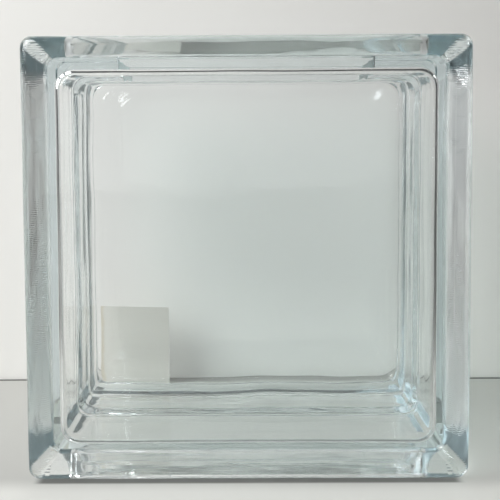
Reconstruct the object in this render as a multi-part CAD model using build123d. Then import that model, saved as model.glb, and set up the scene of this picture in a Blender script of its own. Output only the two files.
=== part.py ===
from build123d import *
from math import radians, tan
import os

# Hollow pressed-glass block with a slot in its top, standing on its lower edge.
# Millimetres. X is the width, Y the depth (the faces look along -Y and +Y), Z is up.
# The origin is the centre of the footprint on the surface that the block stands on.

# Outside of the block
block_width = 190.0
block_height = 190.0
block_depth = 80.0
flange_corner_radius = 5.0
face_edge_radius = 4.0

# Mortar groove round all four narrow sides, with soft sloping flanks between the two flanges
flange_depth = 8.5
flange_rounding = 4.5
groove_depth = 7.8
groove_flank_run = 11.0
groove_corner_radius = 5.0
groove_rounding = 9.0

# Hollow inside, drafted so that each half leaves its plunger
face_thickness = 7.5
side_wall_at_face = 11.9
end_wall_at_face = 13.0
cavity_draft = 0.8
cavity_corner_radius = 10.0
cavity_fillet = 5.0

# Low bead where the two halves are fused, round the groove floor outside and the hollow inside
outer_bead_height = 0.6
outer_bead_width = 4.0
outer_bead_rounding = 0.4
inner_bead_height = 1.2
inner_bead_width = 5.0
inner_bead_rounding = 0.7

# Slot in the top wall
slot_length = 115.0
slot_width = 26.0
slot_corner_radius = 1.5
slot_edge_radius = 0.8
slot_to_bead_end = 4.0

# Paper label on the rear face
label_width = 42.0
label_height = 46.0
label_thickness = 0.15
label_corner_radius = 1.0
label_from_left = 8.5
label_from_bottom = 5.0

middle = block_height / 2
half_depth = block_depth / 2
groove_mouth = half_depth - flange_depth
groove_floor = groove_mouth - groove_flank_run
waist_width = block_width - 2 * groove_depth
waist_height = block_height - 2 * groove_depth
cavity_end = half_depth - face_thickness
cavity_width = block_width - 2 * side_wall_at_face
cavity_height = block_height - 2 * end_wall_at_face
seam_widening = cavity_end * tan(radians(cavity_draft))
seam_width = cavity_width + 2 * seam_widening
seam_height = cavity_height + 2 * seam_widening
seam_corner_radius = cavity_corner_radius + seam_widening
label_x = label_from_left + label_width / 2 - block_width / 2
label_z = label_from_bottom + label_height / 2


def outline(width, height, radius, y):
    """A rounded rectangle that looks along -Y, centred on the block's axis at depth y."""
    plane = Plane(origin=(0, y, middle), x_dir=(1, 0, 0), z_dir=(0, -1, 0))
    return plane * RectangleRounded(width, height, radius)


def prism(width, height, radius, y_near, y_far):
    """A rounded bar along Y from y_near back to y_far."""
    return extrude(outline(width, height, radius, y_far), y_far - y_near)


def loop_at(solid, y, reach=0.01):
    """The edges of a solid that lie wholly in the plane at depth y."""
    return solid.edges().filter_by_position(Axis.Y, y - reach, y + reach)


def front_half_outside():
    """One pressed half: its flange, the sloping flank and half of the waist."""
    flange = prism(block_width, block_height, flange_corner_radius, -half_depth, -groove_mouth)
    flank = loft(
        [
            outline(block_width, block_height, flange_corner_radius, -groove_mouth),
            outline(waist_width, waist_height, groove_corner_radius, -groove_floor),
        ],
        ruled=True,
    )
    waist = prism(waist_width, waist_height, groove_corner_radius, -groove_floor, 0)
    half = flange + flank + waist
    half = fillet(loop_at(half, -half_depth), face_edge_radius)
    half = fillet(loop_at(half, -groove_mouth), flange_rounding)
    half = fillet(loop_at(half, -groove_floor), groove_rounding)
    return half


def front_half_cavity():
    """The hollow that one plunger leaves, wider at the seam than at the face."""
    mouth = outline(cavity_width, cavity_height, cavity_corner_radius, -cavity_end)
    half = extrude(mouth, -cavity_end, taper=-cavity_draft)
    return fillet(loop_at(half, -cavity_end), cavity_fillet)


def mirrored_pair(half):
    """A half joined to its mirror image across the seam."""
    return half + mirror(half, about=Plane.XZ)


def outer_bead():
    """The low ridge of the seam, round the groove floor and ground away beside the slot."""
    ridge = prism(
        waist_width + 2 * outer_bead_height,
        waist_height + 2 * outer_bead_height,
        groove_corner_radius + outer_bead_height,
        -outer_bead_width / 2,
        outer_bead_width / 2,
    )
    ridge = fillet(loop_at(ridge, -outer_bead_width / 2), outer_bead_rounding)
    ridge = fillet(loop_at(ridge, outer_bead_width / 2), outer_bead_rounding)
    gap = Pos(0, 0, block_height) * Box(slot_length + 2 * slot_to_bead_end, slot_width, 4 * groove_depth)
    return ridge - gap


def inner_bead():
    """The low ridge of the seam, round the inside of the hollow."""
    opening = prism(
        seam_width - 2 * inner_bead_height,
        seam_height - 2 * inner_bead_height,
        seam_corner_radius - inner_bead_height,
        -inner_bead_width / 2,
        inner_bead_width / 2,
    )
    surround = prism(
        seam_width + 2 * inner_bead_height,
        seam_height + 2 * inner_bead_height,
        seam_corner_radius + inner_bead_height,
        -inner_bead_width / 2,
        inner_bead_width / 2,
    )
    ring = surround - opening
    rims = loop_at(ring, -inner_bead_width / 2) + loop_at(ring, inner_bead_width / 2)
    return fillet(rims.filter_by(is_inside_hollow), inner_bead_rounding)


def is_inside_hollow(edge):
    """True for an edge that lies within the hollow's outline at the seam."""
    place = edge.center()
    return abs(place.X) < seam_width / 2 and abs(place.Z - middle) < seam_height / 2


def slot_cutter():
    """The rounded opening that goes down through the top wall."""
    plane = Plane(origin=(0, 0, middle))
    return extrude(plane * RectangleRounded(slot_length, slot_width, slot_corner_radius), middle)


def is_slot_rim(edge):
    """True for the edges where the slot opens in the floor of the groove."""
    place = edge.center()
    in_groove_floor = abs(place.Z - (block_height - groove_depth)) < 0.01
    return in_groove_floor and abs(place.X) < slot_length / 2 + 0.01 and abs(place.Y) < slot_width / 2 + 0.01


def glass_block():
    """The two halves fused into one hollow piece, with the slot cut in its top."""
    outside = mirrored_pair(front_half_outside()) + outer_bead()
    hollow = mirrored_pair(front_half_cavity()) - inner_bead()
    glass = outside - hollow - slot_cutter()
    return fillet(glass.edges().filter_by(is_slot_rim), slot_edge_radius)


def paper_label():
    """A thin label with rounded corners, stuck flat on the rear face."""
    plane = Plane(origin=(label_x, half_depth, label_z), x_dir=(1, 0, 0), z_dir=(0, 1, 0))
    return extrude(plane * RectangleRounded(label_width, label_height, label_corner_radius), label_thickness)


if __name__ == "__main__":
    os.makedirs("parts", exist_ok=True)
    block = glass_block()
    label = paper_label()
    print("glass block", round(block.volume), "cubic mm,", len(block.solids()), "solid")
    print("label", round(label.volume), "cubic mm,", len(label.solids()), "solid")
    export_step(block, "parts/glass_block.step")
    export_step(label, "parts/label.step")
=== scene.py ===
# %% [markdown]
# # A hollow glass block with a slot in its top
# The real block is pressed in two halves. Molten glass goes into a mould, a plunger shapes
# the hollow, and the two hot halves are fused along a seam round the middle.
# So the looks come from shape more than from colour: an outer skin, an inner skin,
# a slot that joins them, and clear glass in between that bends whatever is behind it.

# %% Load the measured model
from math import atan, cos, pi, radians, sin, sqrt, tan

import bmesh
import bpy
from mathutils import Matrix, Vector


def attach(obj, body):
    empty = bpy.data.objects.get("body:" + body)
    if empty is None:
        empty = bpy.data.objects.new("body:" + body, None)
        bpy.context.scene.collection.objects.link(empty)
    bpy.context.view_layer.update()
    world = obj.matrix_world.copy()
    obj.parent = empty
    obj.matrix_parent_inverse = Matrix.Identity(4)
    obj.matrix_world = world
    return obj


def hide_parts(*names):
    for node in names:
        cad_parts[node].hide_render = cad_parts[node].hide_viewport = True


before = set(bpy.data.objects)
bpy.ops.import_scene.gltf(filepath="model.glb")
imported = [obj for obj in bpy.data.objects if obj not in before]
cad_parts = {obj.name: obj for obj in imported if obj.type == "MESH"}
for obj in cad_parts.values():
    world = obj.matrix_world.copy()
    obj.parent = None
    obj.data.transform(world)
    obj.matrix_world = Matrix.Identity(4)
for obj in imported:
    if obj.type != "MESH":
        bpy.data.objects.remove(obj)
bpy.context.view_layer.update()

bpy.ops.object.select_all(action="DESELECT")
print("loaded", sorted(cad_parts))

# %% [markdown]
# ## Sizes
# Blender works in metres, and a block is easier to think of in millimetres, so the sizes
# are written in millimetres and turned into metres where a mesh is made.
# The outside has the sizes of the solid model, so that the looks fit over it.

# %% Sizes of the block
MM = 0.001
half_size = 95.0
half_depth = 40.0
middle = 95.0
print("block", 2 * half_size, "by", 2 * half_depth, "by", 2 * half_size, "mm")


# %% [markdown]
# ## Small helpers
# Every piece is shaped in edit mode, where an operator acts on what is selected.
# These helpers open a piece for editing and select parts of it by their place,
# which is what a hand with a mouse would do by eye.


# %% Helpers for selecting
def only(piece):
    """Select one piece and make it the active one."""
    bpy.ops.object.select_all(action="DESELECT")
    piece.select_set(True)
    bpy.context.view_layer.objects.active = piece


def open_mesh(piece, mode="VERT"):
    """Go into edit mode on one piece with nothing selected."""
    only(piece)
    bpy.ops.object.mode_set(mode="EDIT")
    bpy.ops.mesh.select_mode(type=mode)
    bpy.ops.mesh.select_all(action="DESELECT")


def close_mesh():
    """Leave edit mode."""
    bpy.ops.object.mode_set(mode="OBJECT")


def pick_points(piece, wanted):
    """Select the points whose place passes a test."""
    grid = bmesh.from_edit_mesh(piece.data)
    for point in grid.verts:
        point.select_set(wanted(point.co))
    grid.select_flush_mode()
    bmesh.update_edit_mesh(piece.data)


def pick_edges_along(piece, axis):
    """Select the edges that run along one axis: 0 is X, 1 is Y and 2 is Z."""
    grid = bmesh.from_edit_mesh(piece.data)
    for edge in grid.edges:
        way = (edge.verts[1].co - edge.verts[0].co).normalized()
        edge.select_set(abs(way[axis]) > 0.9)
    bmesh.update_edit_mesh(piece.data)


def add_box(place, size):
    """Add a box at a place, with its size kept in its mesh."""
    bpy.ops.mesh.primitive_cube_add(size=1, location=[value * MM for value in place])
    box = bpy.context.object
    box.scale = [value * MM for value in size]
    bpy.ops.object.transform_apply(location=True, rotation=True, scale=True)
    return box


print("helpers ready")


# %% [markdown]
# ## A shell from rings
# Both skins are the same kind of form: a rounded square that grows and shrinks along the
# depth of the block. A box gets its four long edges rounded, then it is cut into rows and
# columns, sliced across at chosen depths, and each slice is scaled to the width that the
# section asks for. Lofting curves would do it too, but scaled slices keep straight rows
# of faces, and clear glass shows every dent in the mesh.


# %% Helpers that make a shell
row_step = 4.0
corner_steps = 8


def sliced_box(name, half_sizes, corner, reach, depths):
    """A box with rounded long edges, cut into rows and columns and sliced at some depths."""
    shell = add_box((0, 0, middle), [2 * half for half in half_sizes])
    shell.name = name
    open_mesh(shell, "EDGE")
    pick_edges_along(shell, 1)
    bpy.ops.mesh.bevel(offset=corner * MM, segments=corner_steps, affect="EDGES")
    rows = int(round(reach / row_step))
    for axis, offset in ((0, 0.0), (2, middle)):
        for row in range(-rows, rows + 1):
            place = [0.0, 0.0, 0.0]
            way = [0.0, 0.0, 0.0]
            place[axis] = (offset + row * row_step) * MM
            way[axis] = 1.0
            bpy.ops.mesh.select_all(action="SELECT")
            bpy.ops.mesh.bisect(plane_co=place, plane_no=way)
    for depth in depths:
        for y in {depth, -depth}:
            if abs(y) < half_sizes[1] - 0.001:
                bpy.ops.mesh.select_all(action="SELECT")
                bpy.ops.mesh.bisect(plane_co=(0, y * MM, 0), plane_no=(0, 1, 0))
    close_mesh()
    return shell


def scale_rings(shell, depths, across, upward):
    """Scale the ring at each depth by the two functions of depth."""
    open_mesh(shell)
    for depth in depths:
        factor = (across(depth), 1.0, upward(depth))
        for y in {depth, -depth}:
            pick_points(shell, lambda place: abs(place.y - y * MM) < 0.00001)
            centre = (0, y * MM, middle * MM)
            bpy.ops.transform.resize(value=factor, center_override=centre)
    close_mesh()


print("shell helpers ready")

# %% [markdown]
# ## The section of the outside
# From the face inwards: a rounded edge, a narrow flat flange that the block stands on,
# a soft slope down to the mortar groove, the flat floor of the groove and, in the very
# middle, the low ridge where the two halves were fused.
# The function gives the half width of the block at a distance from its middle plane.

# %% Section of the outside
face_edge = 4.0
flange_inner = 31.5
flange_rounding = 3.0
groove_depth = 7.8
groove_edge = 20.0
groove_rounding = 7.0
seam_ridge = 0.6
seam_reach = 2.0
slope = atan(groove_depth / (flange_inner - groove_edge))
flange_end = flange_inner + flange_rounding * tan(slope / 2)
slope_start = flange_end - flange_rounding * sin(slope)
groove_start = groove_edge - groove_rounding * tan(slope / 2)
slope_end = groove_start + groove_rounding * sin(slope)


def outer_width(depth):
    """Half width of the outside at a depth from the middle plane."""
    floor = half_size - groove_depth
    if depth > half_depth - face_edge:
        run = depth - half_depth + face_edge
        return half_size - face_edge + sqrt(max(face_edge**2 - run**2, 0.0))
    if depth > flange_end:
        return half_size
    if depth > slope_start:
        run = flange_end - depth
        return half_size - flange_rounding + sqrt(flange_rounding**2 - run**2)
    if depth > slope_end:
        return half_size - (flange_inner - depth) * tan(slope)
    if depth > groove_start:
        run = depth - groove_start
        return floor + groove_rounding - sqrt(groove_rounding**2 - run**2)
    if depth < seam_reach:
        return floor + seam_ridge * (0.5 + 0.5 * cos(pi * depth / seam_reach))
    return floor


print("half width at the seam", outer_width(0.0), "and at the flange", outer_width(34.0))

# %% [markdown]
# ## Where to slice
# A slice is only needed where the section bends. Rounded parts get many slices close
# together, flat parts get few, so the glass is smooth without a heavy mesh.


# %% Depths of the slices outside
def arc_depths(start, end, count):
    """Depths along a curved part of a section, spread evenly."""
    return [start + (end - start) * step / count for step in range(count + 1)]


def edge_depths(end, radius, count):
    """Depths along a rounded edge, closer together where it turns away."""
    return [end - radius + radius * sin(pi / 2 * step / count) for step in range(count + 1)]


slope_middle = (slope_end + slope_start) / 2
outer_depths = arc_depths(0.0, seam_reach, 5) + arc_depths(3.0, 15.0, 12)
outer_depths += arc_depths(groove_start, slope_end, 7)
outer_depths += [slope_middle - 1.6, slope_middle + 1.6]
outer_depths += arc_depths(slope_start, flange_end, 5)
outer_depths += [34.5] + edge_depths(half_depth, face_edge, 9)
print("outside is sliced at", len(outer_depths), "depths on each side of the seam")

# %% [markdown]
# ## The outer skin
# Seen from the front the block is a square with small round corners. The box starts at
# its largest width, that of the flanges, and every slice is scaled down from there, the
# same amount sideways and upwards, so the groove runs round all four sides alike.


# %% Outer skin
def outer_growth(depth):
    """Scale of the outside's slice at a depth."""
    return outer_width(depth) / half_size


outer_corner = 5.0
outer_reach = 84.0
outer_half = (half_size, half_depth, half_size)
outside = sliced_box("pressed_glass", outer_half, outer_corner, outer_reach, outer_depths)
scale_rings(outside, outer_depths, outer_growth, outer_growth)
print("outer skin has", len(outside.data.polygons), "faces")

# %% [markdown]
# ## The section of the hollow
# The plunger leaves a hollow that widens a little from each face to the seam, so that it
# can be drawn out. Where the halves are fused, a soft ridge stands inwards.
# The rounding between the face and the side walls bends light strongly, so it shows as a
# thin line round the window. Its size, and that of the walls, can't be measured from
# outside: they were tried until the lines lay near those of the photograph.

# %% Section of the hollow
hollow_x = 81.9
hollow_z = 81.2
hollow_end = 32.5
hollow_rounding = 3.5
draft = tan(radians(0.8))
inner_ridge = 1.6
ridge_reach = 4.5


def hollow_growth(depth):
    """How far the hollow's wall is from where it would meet the face, in millimetres."""
    rounding = 0.0
    if depth > hollow_end - hollow_rounding:
        run = depth - hollow_end + hollow_rounding
        rounding = hollow_rounding - sqrt(max(hollow_rounding**2 - run**2, 0.0))
    ridge = 0.0
    if depth < ridge_reach:
        ridge = inner_ridge * (0.5 + 0.5 * cos(pi * depth / ridge_reach))
    return draft * (hollow_end - depth) - rounding - ridge


inner_depths = arc_depths(0.0, ridge_reach, 9) + arc_depths(5.5, 28.5, 23)
inner_depths += edge_depths(hollow_end, hollow_rounding, 11)
print("hollow is sliced at", len(inner_depths), "depths on each side of the seam")

# %% [markdown]
# ## The inner skin
# The hollow is made in the same way as the outside. It is a little wider than it is high,
# so it has one scale sideways and another upwards, and its slices lie close together,
# because light crosses its walls at a shallow angle, where small dents show most.


# %% Inner skin
def hollow_across(depth):
    """Sideways scale of the hollow's slice at a depth."""
    return 1 + hollow_growth(depth) / hollow_x


def hollow_upward(depth):
    """Upward scale of the hollow's slice at a depth."""
    return 1 + hollow_growth(depth) / hollow_z


inner_corner = 8.0
inner_reach = 72.0
inner_half = (hollow_x, hollow_end, hollow_z)
inside = sliced_box("hollow", inner_half, inner_corner, inner_reach, inner_depths)
scale_rings(inside, inner_depths, hollow_across, hollow_upward)
print("inner skin has", len(inside.data.polygons), "faces")

# %% [markdown]
# ## Pressed glass is never quite flat
# The plunger side cools unevenly, so the hollow's walls are gently wavy, and this is what
# bends the straight lines behind the block. A Displace modifier with a soft cloud pattern
# moves the points along their normals, and the outer skin only ever moves inwards.
# The plunger is drawn out along the depth of the block and the hot glass folds a little
# across it, so finer waves run along the edges. They use the same clouds, stretched along
# the width and height by an empty that the pattern is measured from.


# %% Waves in the glass
def add_waves(piece, size, height, level, stretch=1.0):
    """Move a skin along its normals by a soft cloud pattern."""
    bpy.ops.object.empty_add(location=(0, 0, 0))
    guide = bpy.context.object
    guide.scale = (stretch, 1.0, stretch)
    bpy.context.view_layer.update()
    only(piece)
    clouds = bpy.data.textures.new("waves in " + piece.name, "CLOUDS")
    clouds.noise_scale = size * MM
    clouds.noise_depth = 1
    waves = piece.modifiers.new("waves", "DISPLACE")
    waves.texture = clouds
    waves.texture_coords = "OBJECT"
    waves.texture_coords_object = guide
    waves.strength = height * MM
    waves.mid_level = level
    bpy.ops.object.modifier_apply(modifier=waves.name)
    bpy.data.objects.remove(guide)


only_inwards = 1.0
both_ways = 0.5
add_waves(outside, 34.0, 0.30, only_inwards)
add_waves(inside, 26.0, 0.5, both_ways)
add_waves(outside, 6.0, 0.06, only_inwards, 9.0)
add_waves(inside, 4.5, 0.28, both_ways, 9.0)
print("waves added")

# %% [markdown]
# ## One solid from two skins
# The inner skin has to face the hollow, so its normals are turned round, and then the two
# skins are joined into one mesh. The hollow could be cut out with a Boolean too, but
# joining is simpler, since neither skin touches the other.

# %% Join the skins
open_mesh(inside)
bpy.ops.mesh.select_all(action="SELECT")
bpy.ops.mesh.flip_normals()
close_mesh()
bpy.ops.object.select_all(action="DESELECT")
inside.select_set(True)
outside.select_set(True)
bpy.context.view_layer.objects.active = outside
bpy.ops.object.join()
glass = outside
print("joined skins have", len(glass.data.polygons), "faces")

# %% [markdown]
# ## The slot
# The slot is cut through the top wall with a saw, so its ends are square and rough.
# A bar of the slot's size, with slightly rounded corners, is taken away from the glass.
# It goes right through the wall, which opens the hollow.

# %% Cut the slot
slot_length = 115.0
slot_width = 26.0
slot_corner = 1.5
bar_bottom = 169.0
bar_top = 193.0
bar_place = (0, 0, (bar_bottom + bar_top) / 2)
cutter = add_box(bar_place, (slot_length, slot_width, bar_top - bar_bottom))
open_mesh(cutter, "EDGE")
pick_edges_along(cutter, 2)
bpy.ops.mesh.bevel(offset=slot_corner * MM, segments=4, affect="EDGES")
close_mesh()
only(glass)
cut = glass.modifiers.new("slot", "BOOLEAN")
cut.object = cutter
cut.operation = "DIFFERENCE"
cut.solver = "EXACT"
bpy.ops.object.modifier_apply(modifier=cut.name)
bpy.data.objects.remove(cutter)
print("with the slot the glass has", len(glass.data.polygons), "faces")

# %% [markdown]
# ## Smooth surfaces with sharp edges at the slot
# Fire-polished glass has no facets, but the sawn slot keeps its edges. Shading smooth by
# angle does both, and weighted normals keep the large flat faces flat where they meet a
# rounding, which is what makes a mirror image in them look straight.

# %% Smooth shading
only(glass)
bpy.ops.object.shade_smooth_by_angle(angle=radians(30))
weighting = glass.modifiers.new("weighting", "WEIGHTED_NORMAL")
weighting.keep_sharp = True
weighting.weight = 100
bpy.ops.object.modifier_apply(modifier=weighting.name)
print("glass is shaded smooth")

# %% [markdown]
# ## The paper label
# A plain paper label is stuck flat on the rear face, low on the left. It is seen from
# behind, through the glass. It is a thin sheet with softly rounded corners.

# %% Label
label_left = -82.6
label_width = 39.6
label_bottom = 5.0
label_height = 49.4
label_thickness = 0.15
label_corner = 1.0
label_place = (
    label_left + label_width / 2,
    half_depth + label_thickness / 2,
    label_bottom + label_height / 2,
)
label = add_box(label_place, (label_width, label_thickness, label_height))
label.name = "paper_label"
open_mesh(label, "EDGE")
pick_edges_along(label, 1)
bpy.ops.mesh.bevel(offset=label_corner * MM, segments=5, affect="EDGES")
close_mesh()
print("label has", len(label.data.polygons), "faces")


# %% [markdown]
# ## Helpers for materials
# A material is a small machine of nodes. Most of what is needed here is a mask: a value
# that is one on some part of a piece and zero elsewhere, worked out from the place on the
# piece. A few helpers keep each mask to one readable line.


# %% Helpers for materials
def new_material(name):
    """A material with a node tree, and its tree."""
    material = bpy.data.materials.new(name)
    material.use_nodes = True
    return material, material.node_tree


def object_place(tree):
    """The place on the piece, and the same split into its three parts."""
    coordinates = tree.nodes.new("ShaderNodeTexCoord")
    parts = tree.nodes.new("ShaderNodeSeparateXYZ")
    tree.links.new(coordinates.outputs["Object"], parts.inputs[0])
    return coordinates.outputs["Object"], parts


def maths(tree, operation, first, second=None):
    """One Math node fed by two values or sockets."""
    node = tree.nodes.new("ShaderNodeMath")
    node.operation = operation
    for socket, value in zip(node.inputs, (first, second)):
        if value is None:
            continue
        if isinstance(value, (int, float)):
            socket.default_value = value
        else:
            tree.links.new(value, socket)
    return node.outputs[0]


def times(tree, first, second):
    """Two values multiplied, which is also where two masks overlap."""
    return maths(tree, "MULTIPLY", first, second)


def soft_step(tree, source, start, end, low=0.0, high=1.0):
    """A soft step of one value, from low at the start to high at the end."""
    step = tree.nodes.new("ShaderNodeMapRange")
    step.interpolation_type = "SMOOTHSTEP"
    for name, value in zip(("From Min", "From Max", "To Min", "To Max"), (start, end, low, high)):
        step.inputs[name].default_value = value
    tree.links.new(source, step.inputs["Value"])
    return step.outputs[0]


def noise(tree, place, scale, detail):
    """A soft random pattern."""
    node = tree.nodes.new("ShaderNodeTexNoise")
    node.inputs["Scale"].default_value = scale
    node.inputs["Detail"].default_value = detail
    tree.links.new(place, node.inputs["Vector"])
    return node.outputs["Fac"]


def mix_colours(tree, share, first, second):
    """One colour turning into another, each given as numbers or as a socket."""
    node = tree.nodes.new("ShaderNodeMix")
    node.data_type = "RGBA"
    tree.links.new(share, node.inputs["Factor"])
    for name, value in (("A", first), ("B", second)):
        if isinstance(value, tuple):
            node.inputs[name].default_value = (*value, 1.0)
        else:
            tree.links.new(value, node.inputs[name])
    return node.outputs["Result"]


print("material helpers ready")

# %% [markdown]
# ## Clear pressed glass
# Clear glass is a Principled shader with full transmission. Its faint blue-green shows
# only where light runs a long way inside, so the colour is an absorption in the volume.
# Light that casts a shadow passes nearly straight through, which keeps the shadow pale
# without waiting for rays to find the lamp through bent glass.

# %% Clear glass
clear_glass, tree = new_material("clear pressed glass")
shader = tree.nodes["Principled BSDF"]
shader.inputs["Base Color"].default_value = (1.0, 1.0, 1.0, 1.0)
shader.inputs["Transmission Weight"].default_value = 1.0
shader.inputs["IOR"].default_value = 1.52
shader.inputs["Roughness"].default_value = 0.0
body = tree.nodes.new("ShaderNodeVolumeAbsorption")
body.inputs["Color"].default_value = (0.66, 0.75, 0.775, 1.0)
body.inputs["Density"].default_value = 14.0
tree.links.new(body.outputs[0], tree.nodes["Material Output"].inputs["Volume"])
through = tree.nodes.new("ShaderNodeBsdfTransparent")
through.inputs["Color"].default_value = (0.78, 0.80, 0.79, 1.0)
ray = tree.nodes.new("ShaderNodeLightPath")
blend = tree.nodes.new("ShaderNodeMixShader")
tree.links.new(ray.outputs["Is Shadow Ray"], blend.inputs[0])
tree.links.new(shader.outputs[0], blend.inputs[1])
tree.links.new(through.outputs[0], blend.inputs[2])
tree.links.new(blend.outputs[0], tree.nodes["Material Output"].inputs["Surface"])
glass.data.materials.clear()
glass.data.materials.append(clear_glass)
print("glass material made")

# %% [markdown]
# ## Sawn slot ends
# The saw leaves the two ends of the slot frosted, and they show from the front as two
# short darker marks in the top edge. A mask picks a thin band round each end, and the
# glass there is rough and a little dark.

# %% Sawn slot ends
frosted_reach = 0.0007
frosted_depth = 0.0135
top_wall_bottom = 0.168
frosted_roughness = 0.6
place, parts = object_place(tree)
across = maths(tree, "ABSOLUTE", parts.outputs["X"])
depth = maths(tree, "ABSOLUTE", parts.outputs["Y"])
from_end = maths(tree, "ABSOLUTE", maths(tree, "SUBTRACT", across, slot_length / 2 * MM))
at_end = maths(tree, "LESS_THAN", from_end, frosted_reach)
in_slot = maths(tree, "LESS_THAN", depth, frosted_depth)
in_top_wall = maths(tree, "GREATER_THAN", parts.outputs["Z"], top_wall_bottom)
sawn = times(tree, times(tree, at_end, in_slot), in_top_wall)
tree.links.new(times(tree, sawn, frosted_roughness), shader.inputs["Roughness"])
cut_tone = mix_colours(tree, sawn, (1.0, 1.0, 1.0), (0.38, 0.46, 0.46))
tree.links.new(cut_tone, shader.inputs["Base Color"])
print("slot ends frosted")

# %% [markdown]
# ## Marks of the mould
# The mould's sides carry fine tooling marks, which print a row of tiny ribs on the slopes
# at the left and right. Drawing the plunger leaves faint streaks along all four walls.
# Both are far finer than the mesh, so they are a bump: the ribs are a sine of the height,
# and the streaks are a noise that is squeezed along the depth. The faces stay clear.

# %% Marks of the mould
side_from = 0.0868
slope_from = 0.018
walls_end = 0.0322
rib_turn = 6900.0
streak_height = 2.2
at_side = maths(tree, "GREATER_THAN", across, side_from)
outer_slope = times(tree, at_side, maths(tree, "GREATER_THAN", depth, slope_from))
tooling = maths(tree, "SINE", times(tree, parts.outputs["Z"], rib_turn))
squeeze = tree.nodes.new("ShaderNodeVectorMath")
squeeze.operation = "MULTIPLY"
squeeze.inputs[1].default_value = (9.0, 330.0, 9.0)
tree.links.new(place, squeeze.inputs[0])
draw_marks = times(tree, noise(tree, squeeze.outputs["Vector"], 1.0, 3.0), streak_height)
on_walls = maths(tree, "LESS_THAN", depth, walls_end)
relief = maths(tree, "ADD", times(tree, tooling, outer_slope), times(tree, draw_marks, on_walls))
bump = tree.nodes.new("ShaderNodeBump")
bump.inputs["Strength"].default_value = 0.5
bump.inputs["Distance"].default_value = 0.00003
tree.links.new(relief, bump.inputs["Height"])
tree.links.new(bump.outputs["Normal"], shader.inputs["Normal"])
print("mould marks added")

# %% [markdown]
# ## Label paper
# The paper is a dull off-white with a faint mottle from its fibres. It has yellowed along
# its left edge, in a band with a wandering border, made by adding a noise to the distance
# from the edge.

# %% Label paper
paper, tree = new_material("label paper")
shader = tree.nodes["Principled BSDF"]
shader.inputs["Roughness"].default_value = 0.8
shader.inputs["Specular IOR Level"].default_value = 0.3
place, parts = object_place(tree)
fibres = noise(tree, place, 900.0, 4.0)
clean = mix_colours(tree, fibres, (0.60, 0.575, 0.53), (0.66, 0.63, 0.585))
wander = times(tree, noise(tree, place, 110.0, 2.0), 0.005)
edge = maths(tree, "ADD", parts.outputs["X"], wander)
left_edge = label_left * MM
yellowed = soft_step(tree, edge, left_edge + 0.0042, left_edge + 0.0062, 1.0, 0.0)
aged = mix_colours(tree, yellowed, clean, (0.60, 0.545, 0.455))
tree.links.new(aged, shader.inputs["Base Color"])
label.data.materials.append(paper)
print("paper material made")


# %% [markdown]
# ## The studio
# The block stands on a pale desk, close in front of a pale wall. Both are stage pieces:
# they light the glass and show through it, and they aren't part of the object.
# Seen from behind, the wall lets the view through, so the back can be looked at too.
# Their light and shade are painted into their tones in the two steps that follow, and not left to
# the lamp.


# %% Stage sheets
def stage_sheet(name, place, size, turn):
    """A flat matt rectangle that isn't seen from behind, and its node tree."""
    bpy.ops.mesh.primitive_plane_add(size=1, location=place, rotation=turn)
    sheet = bpy.context.object
    sheet.name = name
    sheet.scale = (size[0], size[1], 1)
    bpy.ops.object.transform_apply(location=True, rotation=True, scale=True)
    material, tree = new_material(name)
    shader = tree.nodes["Principled BSDF"]
    shader.inputs["Roughness"].default_value = 0.9
    shader.inputs["Specular IOR Level"].default_value = 0.2
    side = tree.nodes.new("ShaderNodeNewGeometry")
    hidden = tree.nodes.new("ShaderNodeBsdfTransparent")
    blend = tree.nodes.new("ShaderNodeMixShader")
    tree.links.new(side.outputs["Backfacing"], blend.inputs[0])
    tree.links.new(shader.outputs[0], blend.inputs[1])
    tree.links.new(hidden.outputs[0], blend.inputs[2])
    tree.links.new(blend.outputs[0], tree.nodes["Material Output"].inputs["Surface"])
    sheet.data.materials.append(material)
    return sheet, tree


wall_y = 67.0
desk, desk_tree = stage_sheet("desk", (0, 0, -0.0003), (3.0, 3.0), (0, 0, 0))
wall, wall_tree = stage_sheet("wall", (0, wall_y * MM, 0.5), (3.0, 1.2), (radians(90), 0, 0))
print("sheets", desk.name, wall.name)

# %% [markdown]
# ## The tone of the desk
# A real desk is in shade under the block, in the thin line where the flange stands, in the
# block's shadow behind it and in the narrow gap along the wall, and it gets less light far
# from the lamp. Clear glass shows all of these as lines, so each is painted shade: a mask
# that takes a share off the tone.
# The shares were chosen to bring the lines nearer to those of the photograph, where
# several of them are still darker. In another room the lines will look different.


# %% Tone of the desk
def darken(tree, level, amount, where):
    """Take a share off a level, where a mask is on."""
    kept = maths(tree, "SUBTRACT", 1.0, times(tree, where, amount))
    return times(tree, level, kept)


front_flange_distance = 0.0362
gap_y = 0.0664
place, parts = object_place(desk_tree)
along = parts.outputs["Y"]
reach = desk_tree.nodes.new("ShaderNodeVectorMath")
reach.operation = "LENGTH"
desk_tree.links.new(place, reach.inputs[0])
# Painted shade: the desk grows darker far from the block, where less lamp light would reach.
lamp_falloff_shade = soft_step(desk_tree, reach.outputs["Value"], 0.15, 0.34)
beside = maths(desk_tree, "ABSOLUTE", parts.outputs["X"])
in_line = soft_step(desk_tree, beside, 0.088, 0.093, 1.0, 0.0)
from_front = maths(desk_tree, "ABSOLUTE", maths(desk_tree, "ADD", along, front_flange_distance))
# Painted shadow: a thin dark strip on the desk where the front flange stands.
contact_shadow = times(desk_tree, soft_step(desk_tree, from_front, 0.0028, 0.0044, 1.0, 0.0), in_line)
# Painted shadow: the block's shadow on the desk between the block and the wall.
block_shadow_band = soft_step(desk_tree, along, 0.043, 0.052)
block_shadow_band = times(desk_tree, block_shadow_band, soft_step(desk_tree, along, 0.067, 0.072, 1.0, 0.0))
shaded = times(desk_tree, block_shadow_band, in_line)
from_gap = maths(desk_tree, "ABSOLUTE", maths(desk_tree, "SUBTRACT", along, gap_y))
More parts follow.
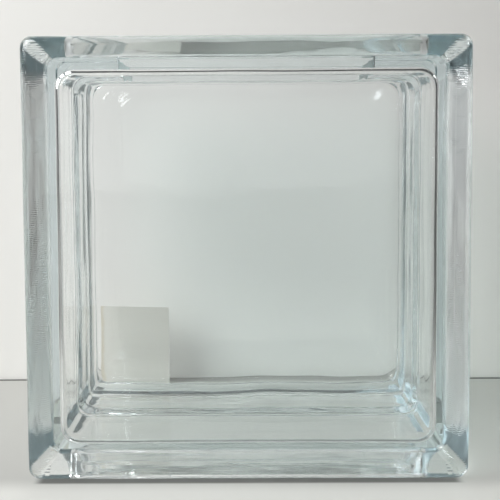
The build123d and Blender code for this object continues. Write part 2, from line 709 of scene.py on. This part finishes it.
# Painted shade: a narrow dark line on the desk in the gap along the wall.
gap_shade = soft_step(desk_tree, from_gap, 0.0011, 0.0017, 1.0, 0.0)
# Painted light and shade: the desk is brighter in front of the block and darker from under it on.
level = soft_step(desk_tree, along, -0.047, -0.035, 0.72, 0.50)
# Each share taken off the level is painted shade.
for amount, where in ((0.66, lamp_falloff_shade), (0.70, contact_shadow), (0.36, shaded), (0.75, gap_shade)):
    level = darken(desk_tree, level, amount, where)
painted_shade_tone = mix_colours(desk_tree, level, (0.0, 0.0, 0.0), (1.0, 1.0, 0.955))
desk_tree.links.new(painted_shade_tone, desk_tree.nodes["Principled BSDF"].inputs["Base Color"])
print("desk painted")

# %% [markdown]
# ## The tone of the wall
# The wall is one pale tone, with painted shade that makes it a little darker far to the left.
# That part is outside the picture, but the slopes at the right of the block bend the view towards
# it.

# %% Tone of the wall
place, parts = object_place(wall_tree)
# Painted shade: where this mask is off, far to the left, the wall is darker.
unshaded_part = soft_step(wall_tree, parts.outputs["X"], -0.24, -0.16)
painted_shade_tone = mix_colours(wall_tree, unshaded_part, (0.44, 0.445, 0.44), (0.80, 0.795, 0.77))
wall_tree.links.new(painted_shade_tone, wall_tree.nodes["Principled BSDF"].inputs["Base Color"])
print("stage pieces", desk.name, wall.name)

# %% [markdown]
# ## Light of the room
# Glass is drawn by what it mirrors. The room is pale in front, brighter to the left and
# darker higher up, and it has dark flags at the sides and overhead, as a photographer sets
# them up so that the edges of clear glass show as dark lines.
# The light is worked out from the direction alone: one mask for the flags, one for the
# part in front and one for the part beyond the wall.

# %% Light of the room
world = bpy.data.worlds.new("room")
bpy.context.scene.world = world
world.use_nodes = True
tree = world.node_tree
sky = tree.nodes["Background"]
sky.inputs["Color"].default_value = (1.0, 1.0, 0.985, 1.0)
direction = tree.nodes.new("ShaderNodeTexCoord")
parts = tree.nodes.new("ShaderNodeSeparateXYZ")
tree.links.new(direction.outputs["Generated"], parts.inputs[0])
sideways = maths(tree, "ABSOLUTE", parts.outputs["X"])
to_the_side = soft_step(tree, sideways, 0.60, 0.78)
overhead = soft_step(tree, parts.outputs["Z"], 0.62, 0.80)
in_front = soft_step(tree, parts.outputs["Y"], -0.24, -0.10, 1.0, 0.0)
flagged = times(tree, maths(tree, "MAXIMUM", to_the_side, overhead), in_front)
from_left = soft_step(tree, parts.outputs["X"], -0.2, 0.35, 0.52, 0.34)
below_the_flags = soft_step(tree, parts.outputs["Z"], 0.17, 0.42, 1.0, 0.25)
in_view = times(tree, from_left, below_the_flags)
from_beyond = soft_step(tree, parts.outputs["Y"], -0.3, 0.3, 0.0, 0.75)
open_room = maths(tree, "MAXIMUM", in_view, from_beyond)
strength = darken(tree, open_room, 0.95, flagged)
tree.links.new(strength, sky.inputs["Strength"])
print("room lit")

# %% [markdown]
# ## The lamp
# The room alone gives desk and wall very little shadow. One large soft lamp stands
# in front, high on the left, and is aimed at the block and the wall behind it.

# %% Lamp
bpy.ops.object.light_add(type="AREA", location=(-0.7, -0.5, 0.7))
key = bpy.context.object
key.name = "key"
key.data.energy = 12.8
key.data.size = 0.6
key_aim = Vector((0, 0.05, 0.1))
key.rotation_euler = (key_aim - key.location).to_track_quat("-Z", "Y").to_euler()
print("lit by the room and", key.name)

# %% [markdown]
# ## Camera
# The camera stands close, a little above the middle of the block, and looks slightly down.
# The picture's middle isn't where the lens points, so the lens is shifted by the rest.
# The sizes are in pixels of a picture 500 pixels wide, which are easy to check by eye.

# %% Camera
picture = 500
lens_length = 560
lens_centre_x = 240.0
lens_centre_y = 167.6
camera_distance = 232.8
pitch = radians(2.39)
yaw = radians(-0.22)
roll = radians(-0.332)
forward = Vector((sin(yaw) * cos(pitch), cos(yaw) * cos(pitch), -sin(pitch)))
right = Vector((cos(yaw), -sin(yaw), 0))
up = right.cross(forward)
level_right = cos(roll) * right + sin(roll) * up
level_up = -sin(roll) * right + cos(roll) * up
turn = Matrix((level_right, level_up, -forward)).transposed().to_4x4()
turn.translation = Vector((-1.95, -half_depth - camera_distance, 144.1)) * MM
bpy.ops.object.camera_add()
camera = bpy.context.object
camera.matrix_world = turn
camera.data.sensor_width = 36.0
camera.data.lens = lens_length / picture * 36.0
camera.data.shift_x = (picture / 2 - lens_centre_x) / picture
camera.data.shift_y = -(picture / 2 - lens_centre_y) / picture
camera.data.clip_start = 0.005
bpy.context.scene.camera = camera
print("camera at", [round(value, 3) for value in turn.translation])

# %% [markdown]
# ## Render settings for glass
# A ray through the block crosses two faces and often both skins of a wall, and turns back
# inside the glass as well. With too few turns allowed the walls come out too dark.

# %% Render settings for glass
scene = bpy.context.scene
scene.view_settings.view_transform = "Standard"
scene.cycles.max_bounces = 24
scene.cycles.transmission_bounces = 24
scene.cycles.glossy_bounces = 24
scene.cycles.transparent_max_bounces = 24
print("light may turn", scene.cycles.max_bounces, "times")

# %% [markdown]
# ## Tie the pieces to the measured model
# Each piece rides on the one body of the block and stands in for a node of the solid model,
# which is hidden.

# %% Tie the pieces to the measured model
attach(glass, "root")
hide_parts("glass_block")
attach(label, "root")
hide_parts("label")
